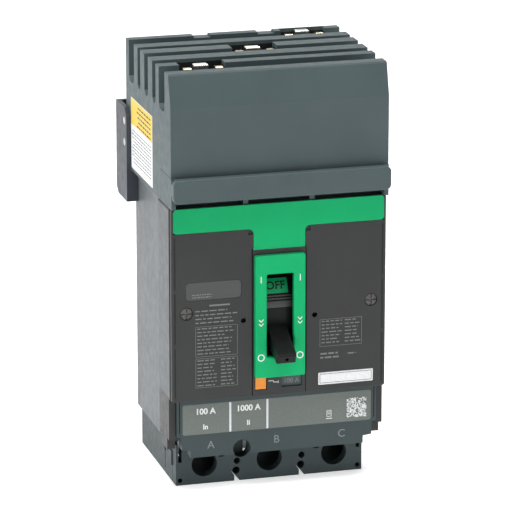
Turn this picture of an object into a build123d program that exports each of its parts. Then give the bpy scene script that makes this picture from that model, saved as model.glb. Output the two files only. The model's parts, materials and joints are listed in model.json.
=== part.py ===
from build123d import *
import os
from math import cos, radians, sin

os.makedirs("parts", exist_ok=True)

# A three-pole plug-on molded case breaker, in millimetres.
# X runs across the poles, +Z points to the line end with the plug-on jaws, and -Y is the front.
# Depths are counted from the rear face of the case towards the front.

# Driving sizes
REAR_Y = 43.4            # Y of the rear face, which centres the whole breaker on Y = 0
POLE_PITCH = 32.2
POLES = {"a": -POLE_PITCH, "b": 0.0, "c": POLE_PITCH}
WALL = 2.6
GAP = 0.3                # usual gap between parts that only sit beside each other

BASE_HALF = 48.5         # half width of the base
FACE_HALF = 52.5         # half width of the front case and of the plug-on housing
LUG_HALF = 46.3          # half width of the lug block
SEAM_DEPTH = 61.8        # where the base meets the front case
FACE_DEPTH = 85.0        # front of the accessory cover
LUG_DEPTH = 68.0         # front of the lug block
PLATE_BACK = 62.2        # back of the lug block's face plates
LUG_TOP = 20.4
COVER_BOTTOM = 47.4
LINE_END = 141.6         # line end of the case, where the plug-on housing starts
TOP = 204.9
TRIP_DEPTH = 82.0        # front of the trip unit
CARTRIDGE_DEPTH = 48.8   # front of the pole cartridges
CARTRIDGE_HALF = 11.4

# Toggle mechanism, as (depth, height) pairs
TOGGLE_PIVOT = (54.3, 87.0)
TOGGLE_REST = -22.7      # degrees above the straight-out direction
ROTOR_AXIS = (27.0, 88.0)
ROTOR_TRAVEL = 36.0
ROD_RADIUS = 9.5         # distance of the two crossbar rods from the rotor's axis
ROD_REST = 14.0
CRADLE_PIVOT = (62.0, 113.0)
UPPER_LINK_PIVOT = (70.0, 82.0)
KNEE = (53.71, 76.18)
TRIP_BAR_AXIS = (57.6, 51.2)
ROD_R = 1.6
PIN_R = 1.5
RUNNING = 0.05           # radial clearance of a running fit


def at_depth(depth):
    """Plane parallel to the rear face, seen from the front: local X is across, local Y is up."""
    return Plane.XZ.offset(depth - REAR_Y)


def side_plane(x):
    """Plane at one x, with local X towards the front, local Y up and its normal towards -X."""
    return Plane(origin=(x, REAR_Y, 0), x_dir=(0, -1, 0), z_dir=(-1, 0, 0))


def polar(centre, radius, degrees):
    """Point at a radius and an angle from a centre, both as (depth, height)."""
    return (centre[0] + radius * cos(radians(degrees)), centre[1] + radius * sin(radians(degrees)))


def block(xs, depths, heights, mode=Mode.ADD):
    """Adds or cuts a block between two x, two depths and two heights."""
    centre = (sum(xs) / 2, REAR_Y - sum(depths) / 2, sum(heights) / 2)
    with Locations(centre):
        Box(xs[1] - xs[0], depths[1] - depths[0], heights[1] - heights[0], mode=mode)


def rod_x(x_from, x_to, centre, radius, mode=Mode.ADD):
    """Adds or cuts a cylinder along X at a (depth, height)."""
    with Locations(Location(((x_from + x_to) / 2, REAR_Y - centre[0], centre[1]), (0, 90, 0))):
        Cylinder(radius, x_to - x_from, mode=mode)


def rod_y(x, height, depth_from, depth_to, radius, mode=Mode.ADD):
    """Adds or cuts a cylinder along the depth."""
    with Locations(Location((x, REAR_Y - (depth_from + depth_to) / 2, height), (90, 0, 0))):
        Cylinder(radius, depth_to - depth_from, mode=mode)


def rod_z(x, depth, z_from, z_to, radius, mode=Mode.ADD):
    """Adds or cuts a cylinder along Z."""
    with Locations((x, REAR_Y - depth, (z_from + z_to) / 2)):
        Cylinder(radius, z_to - z_from, mode=mode)


def side_profile(points, x_from, x_to, mode=Mode.ADD):
    """Adds or cuts a prism along X whose outline is a list of (depth, height) points."""
    with BuildSketch(side_plane(x_to)) as outline:
        with BuildLine():
            Polyline(*points, close=True)
        make_face()
    extrude(outline.sketch, amount=x_to - x_from, mode=mode)


def front_profile(points, depth_from, depth_to, mode=Mode.ADD):
    """Adds or cuts a prism along the depth whose outline is a list of (x, height) points."""
    with BuildSketch(at_depth(depth_from)) as outline:
        with BuildLine():
            Polyline(*points, close=True)
        make_face()
    extrude(outline.sketch, amount=depth_to - depth_from, mode=mode)


def rounded_plate(xs, heights, depths, radius, mode=Mode.ADD):
    """Adds or cuts a plate parallel to the front with rounded corners."""
    with BuildSketch(at_depth(depths[0])) as outline:
        with Locations((sum(xs) / 2, sum(heights) / 2)):
            RectangleRounded(xs[1] - xs[0], heights[1] - heights[0], radius)
    extrude(outline.sketch, amount=depths[1] - depths[0], mode=mode)


def side_link(start, end, half_width, x_from, x_to, mode=Mode.ADD):
    """Adds or cuts a flat link with round ends between two (depth, height) points."""
    reach = Vector(*end) - Vector(*start)
    middle = (Vector(*start) + Vector(*end)) * 0.5
    angle = Vector(1, 0).get_signed_angle(reach, Vector(0, 0, 1))
    with BuildSketch(side_plane(x_to)) as outline:
        with Locations(Location((middle.X, middle.Y, 0), (0, 0, angle))):
            SlotCenterToCenter(reach.length, 2 * half_width)
    extrude(outline.sketch, amount=x_to - x_from, mode=mode)


def strip(points, thickness, x_from, x_to):
    """Adds a bent strip of metal along (depth, height) points, its width along X."""
    with BuildSketch(side_plane(x_to)) as outline:
        with BuildLine() as path:
            Polyline(*points)
        with BuildLine(mode=Mode.PRIVATE) as both_sides:
            offset(path.line, amount=thickness / 2, side=Side.BOTH, kind=Kind.INTERSECTION)
        make_face(both_sides.edges())
    extrude(outline.sketch, amount=x_to - x_from)


def save(piece, name):
    """Labels a finished piece and writes its STEP file."""
    piece.part.label = name
    export_step(piece.part, f"parts/{name}.step")


# --- Case -------------------------------------------------------------------------------------

CELL_WALL = 2.4
CELL_TOP = 138.8
CELL_FLOOR = 23.2
GROOVE_DEPTHS = (47.1, 48.0)
FLANK_X = (49.3, FACE_HALF)   # flanks of the front case on both sides of the trip unit


def base_case():
    """Rear tray with three pole cells, open to the front."""
    with BuildPart() as piece:
        block((-BASE_HALF, BASE_HALF), (0, SEAM_DEPTH), (LUG_TOP, LINE_END))
        fillet(piece.edges().filter_by(Axis.Z), 1.5)
        cell_half = (POLE_PITCH - CELL_WALL) / 2
        for x in POLES.values():
            outer = min(x + cell_half, BASE_HALF - WALL)
            inner = max(x - cell_half, WALL - BASE_HALF)
            block((inner, outer), (WALL, SEAM_DEPTH), (CELL_FLOOR, CELL_TOP), mode=Mode.SUBTRACT)
            block((x - 8, x + 8), (6.4, 11.6), (CELL_TOP, LINE_END), mode=Mode.SUBTRACT)
            block((x - 8, x + 8), (11.4, 18), (LUG_TOP, CELL_FLOOR), mode=Mode.SUBTRACT)
        # the walls between poles stop short of the toggle mechanism and of the trip bar
        block((-BASE_HALF + WALL, BASE_HALF - WALL), (CARTRIDGE_DEPTH, SEAM_DEPTH), (50, CELL_TOP),
              mode=Mode.SUBTRACT)
        # the trip unit fills the load end
        block((-BASE_HALF + WALL, BASE_HALF - WALL), (WALL, SEAM_DEPTH), (CELL_FLOOR, 50.1),
              mode=Mode.SUBTRACT)
        # the crossbar rods swing through windows in the walls between poles
        rod_x(-20, 20, ROTOR_AXIS, ROD_RADIUS + 3.2, mode=Mode.SUBTRACT)
        for x in (-41.5, 41.5):
            rod_y(x, 135.4, WALL, SEAM_DEPTH, 3.0)
            rod_y(x, 135.4, WALL + 4, SEAM_DEPTH, 1.7, mode=Mode.SUBTRACT)
        # parting groove with two latch slots on both outer sides, and a recess under the housing
        for side in (-1, 1):
            face = side * BASE_HALF
            skin = sorted((face, face - side * 0.7))
            block(skin, GROOVE_DEPTHS, (LUG_TOP, LINE_END), mode=Mode.SUBTRACT)
            for height in (41.5, 52.1):
                block(skin, (GROOVE_DEPTHS[0] - 1, GROOVE_DEPTHS[1] + 1), (height - 0.5, height + 0.5),
                      mode=Mode.SUBTRACT)
            block(sorted((face, face - side * 1.6)), (0, SEAM_DEPTH), (LINE_END - 2.8, LINE_END),
                  mode=Mode.SUBTRACT)
    save(piece, "base_case")


def front_case():
    """Front half of the case: a ring of walls, a deck and the centre column of the toggle."""
    with BuildPart() as piece:
        block((-FACE_HALF, FACE_HALF), (SEAM_DEPTH, 82.2), (COVER_BOTTOM, LINE_END))
        fillet(piece.edges().filter_by(Axis.Y), 1.2)
        block((-FACE_HALF + WALL, FACE_HALF - WALL), (64.4, 82.2), (COVER_BOTTOM + 2, LINE_END - 2),
              mode=Mode.SUBTRACT)
        block((-20.2, 20.2), (64.4, 82.2), (COVER_BOTTOM + 1, LINE_END - 1))
        block((-12.8, 12.8), (82.2, FACE_DEPTH - 0.2), (COVER_BOTTOM, 119.2))
        for side in (-1, 1):
            block(sorted(side * x for x in FLANK_X), (SEAM_DEPTH, 80.0), (27.4, COVER_BOTTOM + 2))
            block(sorted((side * 48.4, side * 52.3)), (64.0, 75.5), (21.6, 27.6))
        block((-18.2, 18.2), (SEAM_DEPTH, 82.2), (59, 122), mode=Mode.SUBTRACT)
        block((-9.2, 9.2), (SEAM_DEPTH, FACE_DEPTH), (63.5, 110.5), mode=Mode.SUBTRACT)
        # clearance for the trip bar, the cradle's tip and the push-to-trip plunger
        block((0, 11.2), (SEAM_DEPTH, 67.2), (54.4, 59.4), mode=Mode.SUBTRACT)
        block((-44, 44), (SEAM_DEPTH, 64.4), (COVER_BOTTOM + 1.6, 59.4), mode=Mode.SUBTRACT)
        block((-11.9, -5.9), (SEAM_DEPTH, FACE_DEPTH), (50.2, 56.8), mode=Mode.SUBTRACT)
        block((1.4, 11.3), (FACE_DEPTH - 1.2, FACE_DEPTH), (50.8, 55.9), mode=Mode.SUBTRACT)
        for x in (-45, 45):
            rod_y(x, 90.5, 64.4, 82.2, 3.4)
            rod_y(x, 90.5, 66, 82.2, 1.4, mode=Mode.SUBTRACT)
        for x in (-41.5, 41.5):
            rod_y(x, 135.4, SEAM_DEPTH, 67.4, 3.0)
            rod_y(x, 135.4, SEAM_DEPTH, 67.4, 1.7, mode=Mode.SUBTRACT)
    save(piece, "front_case")


def accessory_cover():
    """Flat front cover on both sides of the centre column, held by two screws."""
    with BuildPart() as piece:
        cover_half = FACE_HALF - GAP
        rounded_plate((-cover_half, cover_half), (COVER_BOTTOM, LINE_END - 0.2), (82.2, FACE_DEPTH), 1.2)
        block((-13.1, 13.1), (82.2, FACE_DEPTH), (COVER_BOTTOM - 1, 119.5), mode=Mode.SUBTRACT)
        front_edges = piece.faces().sort_by(Axis.Y)[0].outer_wire().edges()
        chamfer(front_edges, 0.35)
        # seats of the header, the indicator window and the blank label
        block((-51.2, 51.2), (84.2, FACE_DEPTH), (129.2, LINE_END), mode=Mode.SUBTRACT)
        block((-12.7, 12.7), (84.2, FACE_DEPTH), (119, 130), mode=Mode.SUBTRACT)
        block((-15.2, 15.2), (84.2, FACE_DEPTH), (126.7, 130), mode=Mode.SUBTRACT)
        rounded_plate((-45.4, -18.4), (96.6, 105.5), (84.0, FACE_DEPTH), 2.0, mode=Mode.SUBTRACT)
        rounded_plate((19.2, 46.4), (50.2, 56.4), (84.6, FACE_DEPTH), 0.4, mode=Mode.SUBTRACT)
        for x in (-45, 45):
            rod_y(x, 90.5, 83.4, FACE_DEPTH, 3.2, mode=Mode.SUBTRACT)
            rod_y(x, 90.5, 82.2, FACE_DEPTH, 1.6, mode=Mode.SUBTRACT)
        for x in (-17.4, 17.4):
            rod_y(x, 85.2, 82.2, FACE_DEPTH, 1.3, mode=Mode.SUBTRACT)
        # sealing notches in the line-end edge
        for x in (-24.5, 24.5):
            block((x - 1.6, x + 1.6), (FACE_DEPTH - 1.6, FACE_DEPTH), (LINE_END - 1.4, LINE_END),
                  mode=Mode.SUBTRACT)
    save(piece, "accessory_cover")


def header_plate():
    """Coloured header band with a short stem down to the toggle's surround."""
    with BuildPart() as piece:
        with BuildSketch(at_depth(84.2)) as outline:
            with Locations((0, 135.3)):
                RectangleRounded(102.2, 11.8, 1.6)
            with Locations((0, 124.9)):
                Rectangle(25.0, 11.4)
            corners = outline.vertices().filter_by(lambda v: abs(abs(v.X) - 12.5) < 0.1 and v.Y > 125)
            fillet(corners, 2.4)
        extrude(amount=0.9)
    save(piece, "header_plate")


def escutcheon():
    """Raised surround of the toggle, with a bevelled opening."""
    with BuildPart() as piece:
        rounded_plate((-12.15, 12.15), (56.8, 116.5), (FACE_DEPTH - 0.2, 87.5), 0.9)
        chamfer(piece.faces().sort_by(Axis.Y)[0].outer_wire().edges(), 0.3)
        rounded_plate((-6.6, 6.6), (66.7, 107.3), (80, 90), 0.8, mode=Mode.SUBTRACT)
        inner = piece.faces().sort_by(Axis.Y)[0].inner_wires()[0].edges()
        chamfer(inner, 0.5)
    save(piece, "escutcheon")


def cover_screws():
    """Two slotted screws of the accessory cover."""
    with BuildPart() as piece:
        for x in (-45, 45):
            rod_y(x, 90.5, 83.4, 84.7, 2.7)
            rod_y(x, 90.5, 68, 83.4, 1.35)
            block((x - 2.8, x + 2.8), (84.1, 85), (90.1, 90.9), mode=Mode.SUBTRACT)
            block((x - 0.4, x + 0.4), (84.1, 85), (87.7, 93.3), mode=Mode.SUBTRACT)
    save(piece, "cover_screws")


def case_screws():
    """Screws that hold the front case to the base from under the cover."""
    with BuildPart() as piece:
        for x in (-41.5, 41.5):
            rod_y(x, 135.4, 67.4, 69.8, 2.9)
            rod_y(x, 135.4, 20, 67.4, 1.6)
            block((x - 3, x + 3), (68.8, 70), (135, 135.8), mode=Mode.SUBTRACT)
    save(piece, "case_screws")


def indicator_window():
    """Clear window over the status indicator."""
    with BuildPart() as piece:
        rounded_plate((-45.25, -18.55), (96.75, 105.35), (84.2, 84.9), 1.9)
    save(piece, "indicator_window")


def blank_label():
    """Printed label, left plain."""
    with BuildPart() as piece:
        rounded_plate((19.3, 46.3), (50.3, 56.3), (84.6, 84.95), 0.35)
    save(piece, "blank_label")


base_case()
front_case()
accessory_cover()
header_plate()
escutcheon()
cover_screws()
case_screws()
indicator_window()
blank_label()


# --- Load end ---------------------------------------------------------------------------------

SKIRT_BOTTOM = 18.4
SKIRT_NOTCH = (-17.4, 21.0)
BEZEL_HALF = 49.0
LUG_ACCESS_Z = 9.9
LUG_SCREW_Z = 12.6
WIRE_DEPTH = 26.0        # depth of the wire's centre
WIRE_R = 6.2


def trip_unit_case():
    """Trip unit housing: a front bezel with a skirt over the lugs, and pockets for each pole."""
    with BuildPart() as piece:
        block((-45.4, 45.4), (3.2, SEAM_DEPTH), (CELL_FLOOR + GAP, 49.0))
        for x in POLES.values():
            block((x - 13.2, x + 13.2), (5.4, 59.4), (25.8, 49.0), mode=Mode.SUBTRACT)
            block((x - 8, x + 8), (11.4, 18), (CELL_FLOOR, 25.8), mode=Mode.SUBTRACT)
        block((-42, 42), (52, 59.4), (47, 49), mode=Mode.SUBTRACT)
        block((-BEZEL_HALF, BEZEL_HALF), (SEAM_DEPTH, TRIP_DEPTH), (28.9, COVER_BOTTOM - GAP))
        skirt = [(46.7, 29), (46.7, 22.5), (42.5, 22.0), (42.5, SKIRT_BOTTOM)]
        front_profile(skirt + [(-x, height) for x, height in reversed(skirt)], 76, TRIP_DEPTH)
        # recess behind the skirt so that a screwdriver reaches the lugs
        block((-46, 46), (SEAM_DEPTH - 0.1, 76), (21.0, 27), mode=Mode.SUBTRACT)
        # round cut-out of the skirt above the keying recess of the lug block
        rod_y(*SKIRT_NOTCH, 75, TRIP_DEPTH, 4.4, mode=Mode.SUBTRACT)
        for side in (-1, 1):
            block(sorted((side * 47.6, side * 48.1)), (81.2, TRIP_DEPTH), (30.8, 46.4), mode=Mode.SUBTRACT)
        rounded_plate((-46.5, 46.5), (29.6, 44.8), (81.4, TRIP_DEPTH), 1.2, mode=Mode.SUBTRACT)
        # way through for the push-to-trip plunger
        block((-10.6, -7.2), (59, 70), (46, 49.1), mode=Mode.SUBTRACT)
    save(piece, "trip_unit_case")


def rating_plate():
    """Rating plate of the trip unit, set into the bezel."""
    with BuildPart() as piece:
        rounded_plate((-46.4, 46.4), (29.7, 44.7), (81.4, 81.95), 1.1)
    save(piece, "rating_plate")


def lug_block():
    """Load end tray with one lug chamber per pole and a face plate in front of each chamber."""
    edges_x = (-LUG_HALF, -POLE_PITCH / 2, POLE_PITCH / 2, LUG_HALF)
    with BuildPart() as piece:
        block((-LUG_HALF, LUG_HALF), (0, PLATE_BACK - 0.1), (0, LUG_TOP))
        fillet(piece.edges().filter_by(Axis.Z), 1.0)
        for left, right in zip(edges_x, edges_x[1:]):
            block((left + 0.05, right - 0.05), (PLATE_BACK, LUG_DEPTH), (0, LUG_TOP))
        for x in POLES.values():
            block((x - 11.6, x + 11.6), (9.5, PLATE_BACK), (3.2, LUG_TOP), mode=Mode.SUBTRACT)
            rod_z(x, WIRE_DEPTH, 0, 4, 10.0, mode=Mode.SUBTRACT)
            rod_y(x, LUG_ACCESS_Z, 60, LUG_DEPTH, 6.3, mode=Mode.SUBTRACT)
        for x in (-POLE_PITCH / 2, POLE_PITCH / 2):
            rod_y(x, 10.0, 0, LUG_DEPTH, 1.6, mode=Mode.SUBTRACT)
            rod_y(x - 0.4, 5.2, 56, LUG_DEPTH, 1.9, mode=Mode.SUBTRACT)
            notch = [(x - 2.9, 5.2), (x - 1.3, 2.8), (x - 1.3, -0.1), (x + 1.4, -0.1)]
            front_profile(notch, 52, LUG_DEPTH, mode=Mode.SUBTRACT)
        # keying recess between two poles, and two blind holes beside the driver holes
        rod_y(-14.2, 16.0, 62, LUG_DEPTH, 4.3, mode=Mode.SUBTRACT)
        for x in (-23.8, 23.3):
            rod_y(x, 15.4, 63, LUG_DEPTH, 2.7, mode=Mode.SUBTRACT)
        for x in (-44.2, 44.2):
            rod_y(x, 2.4, 60, LUG_DEPTH, 1.2, mode=Mode.SUBTRACT)
            block((x - 0.9, x + 0.9), (62, LUG_DEPTH), (11.5, 20.4), mode=Mode.SUBTRACT)
        # slots in the outer sides, where the block clips to the base, and a small raised catch
        for side in (-1, 1):
            skin = sorted((side * LUG_HALF, side * (LUG_HALF - 0.9)))
            block(skin, GROOVE_DEPTHS, (2.4, LUG_TOP), mode=Mode.SUBTRACT)
            block(skin, (GROOVE_DEPTHS[0] - 1, GROOVE_DEPTHS[1] + 1.2), (11.7, 12.7), mode=Mode.SUBTRACT)
            block(sorted((side * (LUG_HALF - 1), side * (LUG_HALF + 0.6))), (56, 61.6), (8.4, 15.6))
    save(piece, "lug_block")


def wire_lug(pole, x):
    """Aluminium lug: the wire enters along Z and the screw clamps it from the front."""
    with BuildPart() as piece:
        block((x - 8.8, x + 8.8), (16.2, 41.6), (6.6, 19.8))
        fillet(piece.edges().filter_by(Axis.Z), 1.6)
        rod_z(x, WIRE_DEPTH, 6.6, 19.8, WIRE_R, mode=Mode.SUBTRACT)
        rod_y(x, LUG_SCREW_Z, WIRE_DEPTH, 41.6, 4.0 + RUNNING, mode=Mode.SUBTRACT)
    save(piece, f"lug_{pole}")


def lug_screw(pole, x):
    """Slotted binding screw of a lug."""
    with BuildPart() as piece:
        rod_y(x, LUG_SCREW_Z, 33.2, 44.6, 4.0)
        chamfer(piece.faces().sort_by(Axis.Y)[-1].edges(), 0.8)
        block((x - 4.1, x + 4.1), (42.6, 44.7), (LUG_SCREW_Z - 0.6, LUG_SCREW_Z + 0.6), mode=Mode.SUBTRACT)
    save(piece, f"lug_screw_{pole}")


STRAP_HALF = 5.0
STRAP_T = 2.4
LINE_RUN = 8.0           # depth of the line strap's straight run
LOAD_RUN = 2 * ROTOR_AXIS[0] - LINE_RUN


def load_strap(pole, x):
    """Copper path from the load contact, through the trip unit, to the lug."""
    with BuildPart() as piece:
        path = [(31.6, 68.2), (31.6, 74.6), (LOAD_RUN, 74.6), (LOAD_RUN, 29.2), (14.8, 29.2), (14.8, 7.5)]
        strip(path, STRAP_T, x - STRAP_HALF, x + STRAP_HALF)
        block((x - 3, x + 3), (29.4, 30.4), (67.6, 73.4))
    save(piece, f"load_strap_{pole}")


def bimetal(pole, x):
    """Bimetal blade that bends towards the trip bar when its pole runs hot."""
    with BuildPart() as piece:
        block((x - 3, x + 3), (LOAD_RUN + STRAP_T / 2, LOAD_RUN + STRAP_T / 2 + 2.6), (28.5, 32))
        block((x - 3, x + 3), (LOAD_RUN + STRAP_T / 2 + 1.6, LOAD_RUN + STRAP_T / 2 + 2.6), (31, 47.6))
        rod_y(x, 45.6, LOAD_RUN + STRAP_T / 2 + 2, 55.0, 1.0)
    save(piece, f"bimetal_{pole}")


def magnet_yokes():
    """Steel yokes round the three load straps, which pull the armatures on a short circuit."""
    back = LOAD_RUN - STRAP_T / 2
    with BuildPart() as piece:
        for x in POLES.values():
            block((x - 9, x + 9), (back - 1.8, back - 0.2), (31, 40))
            for side in (-1, 1):
                block(sorted((x + side * 7.4, x + side * 9)), (back - 1.8, 52.0), (31, 40))
    save(piece, "magnet_yokes")


ARMATURE_PIVOT = (53.6, 41.5)


def armature(pole, x):
    """Steel flap on a pin: its foot swings to the yoke and its two horns push the trip bar."""
    with BuildPart() as piece:
        block((x - 9.2, x + 9.2), (53.0, 54.2), (31.5, 48.0))
        block((x - 2.4, x + 2.4), (52.8, 54.4), (41.0, 48.1), mode=Mode.SUBTRACT)
        rod_x(x - 11.4, x - 2.4, ARMATURE_PIVOT, 1.0)
        rod_x(x + 2.4, x + 11.4, ARMATURE_PIVOT, 1.0)
    save(piece, f"armature_{pole}")


trip_unit_case()
rating_plate()
lug_block()
magnet_yokes()
for pole_name, pole_x in POLES.items():
    wire_lug(pole_name, pole_x)
    lug_screw(pole_name, pole_x)
    load_strap(pole_name, pole_x)
    bimetal(pole_name, pole_x)
    armature(pole_name, pole_x)


# --- Line end with the plug-on jaws -----------------------------------------------------------

HOUSING_FRONT = 86.7
BEND_Z = 189.5           # where the housing's front face starts to lean back
TOP_FRONT = 82.6
SLOT_FLOOR = 185.3
SLOTS = [(6.2, 16.3), (23.7, 28.7), (36.9, 44.0), (52.4, 58.7), (64.8, 75.8)]
JAW_RIDGES = {"a": (58.7, 64.8), "b": (28.7, 36.9), "c": (1.5, 6.2)}
JAW_X = {"a": -31.7, "b": 1.35, "c": 33.9}
JAW_GAP_HALF = 11.0
CHAMBER_TOP = 182.6
FINGER_TOP = 204.4
SPRING_TOP = 202.6
SHIELD_Z = (145.4, 156.8)
SHIELD_DEPTH = 92.0
SHIELD_BACK = 88.2       # back of the shield's free upper part
RECESS_DEPTH = 80.0
CHEEK = 2.2
STRAP_SHELF = {"a": 163.0, "b": 157.0, "c": 151.0}
BRACKET_SCREW_DEPTH = 4.4
BRACKET_SCREW_Z = (154.5, 165.0)


def plug_on_housing():
    """Comb-shaped housing: five slots for the busbars and a gap in one ridge for each phase's jaw."""
    with BuildPart() as piece:
        outline = [(0, LINE_END), (HOUSING_FRONT, LINE_END), (HOUSING_FRONT, BEND_Z), (TOP_FRONT, TOP),
                   (0, TOP)]
        side_profile(outline, -FACE_HALF, FACE_HALF)
        long_edges = piece.edges().filter_by(Axis.X).group_by(Axis.Z)
        fillet(long_edges[-1] + long_edges[-2], 1.3)
        block((-FACE_HALF + 2.5, FACE_HALF - 2.5), (2.5, HOUSING_FRONT - 2.5), (LINE_END, CHAMBER_TOP),
              mode=Mode.SUBTRACT)
        # recess under the terminal shield, with its own wall behind
        inner = (-FACE_HALF + 2, FACE_HALF - 2)
        block(inner, (RECESS_DEPTH - 2.4, HOUSING_FRONT - 1), (LINE_END, SHIELD_Z[0] + 2.4))
        block((-FACE_HALF - 1, FACE_HALF + 1), (RECESS_DEPTH, HOUSING_FRONT + 1), (LINE_END - 1, SHIELD_Z[0]),
              mode=Mode.SUBTRACT)
        for near, far in SLOTS:
            bevel = min(2.2, (far - near) / 2 - 1)
            slot = [(near, TOP + 1), (near, SLOT_FLOOR + bevel), (near + bevel, SLOT_FLOOR),
                    (far - bevel, SLOT_FLOOR), (far, SLOT_FLOOR + bevel), (far, TOP + 1)]
            side_profile(slot, -FACE_HALF - 1, FACE_HALF + 1, mode=Mode.SUBTRACT)
        for pole, (near, far) in JAW_RIDGES.items():
            x = JAW_X[pole]
            block((x - JAW_GAP_HALF, x + JAW_GAP_HALF), (near, far), (SLOT_FLOOR, TOP + 1),
                  mode=Mode.SUBTRACT)
            block((x - 8.6, x + 8.6), (near + 0.3, far - 0.3), (CHAMBER_TOP, SLOT_FLOOR), mode=Mode.SUBTRACT)
        for x in (-POLE_PITCH / 2, POLE_PITCH / 2):
            block((x - 1.2, x + 1.2), (2.4, HOUSING_FRONT - 2.4), (LINE_END, CHAMBER_TOP + 0.1))
        # shallow notches in the rear ridge
        for x in (-16.3, 15.6):
            block((x - 4.2, x + 4.2), (-1, 6.3), (TOP - 1.1, TOP + 1), mode=Mode.SUBTRACT)
        # seats of the front shield's cheeks
        for side in (-1, 1):
            block(sorted((side * FACE_HALF, side * (FACE_HALF - CHEEK))), (67.4, HOUSING_FRONT),
                  (LINE_END, SHIELD_Z[1]), mode=Mode.SUBTRACT)
            for height in BRACKET_SCREW_Z:
                rod_x(*sorted((side * (FACE_HALF - 3), side * FACE_HALF)), (BRACKET_SCREW_DEPTH, height), 1.3,
                      mode=Mode.SUBTRACT)
    save(piece, "plug_on_housing")


def terminal_shield():
    """Overhanging bar in front of the line terminals, with a cheek along each side."""
    with BuildPart() as piece:
        block((-FACE_HALF, FACE_HALF), (SHIELD_BACK, SHIELD_DEPTH), SHIELD_Z)
        fillet(piece.edges().filter_by(Axis.Y), 2.6)
        fillet(piece.faces().sort_by(Axis.Y)[0].outer_wire().edges(), 0.8)
        inner = (-FACE_HALF + 2, FACE_HALF - 2)
        block(inner, (HOUSING_FRONT + 0.2, SHIELD_BACK + 0.1), (SHIELD_Z[0] + 0.4, 150))
        for side in (-1, 1):
            outer = side * FACE_HALF
            inner = side * (FACE_HALF - CHEEK + 0.1)
            block(sorted((outer, inner)), (67.6, HOUSING_FRONT + 0.7), (LINE_END + 0.1, SHIELD_Z[1] - 0.2))
            block(sorted((outer, inner)), (HOUSING_FRONT + 0.6, SHIELD_BACK + 0.4), (149, 154))
        # centre rib in the groove behind the shield
        block((-0.8, 0.8), (HOUSING_FRONT + 0.2, SHIELD_BACK + 0.1), (149, SHIELD_Z[1] - 0.4))
    save(piece, "terminal_shield")


def mounting_bracket():
    """Sheet steel channel behind the housing that hangs the breaker on the panel's pan."""
    half = FACE_HALF + 0.1
    thick = 2.1
    with BuildPart() as piece:
        wing = [(8.8, 125.7), (8.8, 168.0), (5.0, 171.7), (-12.4, 171.7), (-12.4, 128.5), (-9.0, 125.7)]
        for side in (-1, 1):
            side_profile(wing, *sorted((side * half, side * (half + thick))))
            # return flange beside the base
            flange = sorted((side * (BASE_HALF + 0.4), side * (half + 0.1)))
            block(flange, (6.7, 8.8), (125.7, LINE_END - 0.4))
        block((-half - thick, half + thick), (-12.4, -12.4 + thick), (134, 171.7))
        for side in (-1, 1):
            low, high = sorted((side * half, side * (half + thick)))
            for height in BRACKET_SCREW_Z:
                rod_x(low, high, (BRACKET_SCREW_DEPTH, height), 1.8, mode=Mode.SUBTRACT)
        for x in (-30, 30):
            block((x - 7, x + 7), (-12.5, -10), (142, 149), mode=Mode.SUBTRACT)
            rod_y(x, 160, -12.5, -10, 2.6, mode=Mode.SUBTRACT)
    save(piece, "mounting_bracket")


def bracket_screws():
    """Pan head screws that hold the bracket to the housing."""
    head = FACE_HALF + 2.2
    with BuildPart() as piece:
        for side in (-1, 1):
            for height in BRACKET_SCREW_Z:
                centre = (BRACKET_SCREW_DEPTH, height)
                rod_x(*sorted((side * (FACE_HALF - 2.4), side * head)), centre, 1.25)
                rod_x(*sorted((side * (FACE_HALF + 1.4), side * head)), centre, 1.75)
    save(piece, "bracket_screws")


def jaw_depth(pole):
    """Depth of the middle of a phase's jaw."""
    near, far = JAW_RIDGES[pole]
    return (near + far) / 2


def line_strap(pole, x):
    """Copper path from the jaw down to the fixed line contact of its pole."""
    shelf = STRAP_SHELF[pole]
    with BuildPart() as piece:
        hook = [(22.4, 107.8), (22.4, 101.4), (LINE_RUN, 101.4), (LINE_RUN, 145.6)]
        strip(hook, STRAP_T, x - STRAP_HALF, x + STRAP_HALF)
        block((x - 3, x + 3), (23.6, 24.6), (102.6, 108.4))
        riser = [(LINE_RUN, 144), (LINE_RUN, shelf), (jaw_depth(pole), shelf), (jaw_depth(pole), 179.8)]
        strip(riser, STRAP_T, x - STRAP_HALF, x + STRAP_HALF)
    save(piece, f"line_strap_{pole}")


def jaw(pole):
    """Silvered jaw finger that presses on the busbar, on a wider foot."""
    x = JAW_X[pole]
    middle = jaw_depth(pole)
    with BuildPart() as piece:
        block((x - 8, x + 8), (middle - 1.2, middle + 1.2), (181, 188))
        block((x - 3.6, x + 3.4), (middle - 1.9, middle + 1.9), (187, FINGER_TOP))
        fillet(piece.faces().sort_by(Axis.Z)[-1].outer_wire().edges(), 0.9)
    save(piece, f"jaw_{pole}")


def jaw_springs():
    """Low spring fingers on both sides of each jaw."""
    with BuildPart() as piece:
        for pole, x in JAW_X.items():
            middle = jaw_depth(pole)
            for xs in ((x - 8.4, x - 4.6), (x + 7.0, x + 10.6)):
                block(xs, (middle - 1.6, middle + 1.6), (188, SPRING_TOP))
            block((x + 4.8, x + 10.6), (middle - 1.6, middle + 1.6), (188, 189.2))
        fillet(piece.edges().filter_by(Axis.X).group_by(Axis.Z)[-1], 0.7)
    save(piece, "jaw_springs")


plug_on_housing()
terminal_shield()
mounting_bracket()
bracket_screws()
jaw_springs()
for pole_name, pole_x in POLES.items():
    line_strap(pole_name, pole_x)
    jaw(pole_name)


# --- Poles ------------------------------------------------------------------------------------

CARTRIDGE_Z = (50.5, 125.5)
ROTOR_R = 12.0
ARM_REACH = 23.0
ARM_HALF_T = 1.8
ARM_REST = 90 - ROTOR_TRAVEL


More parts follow.
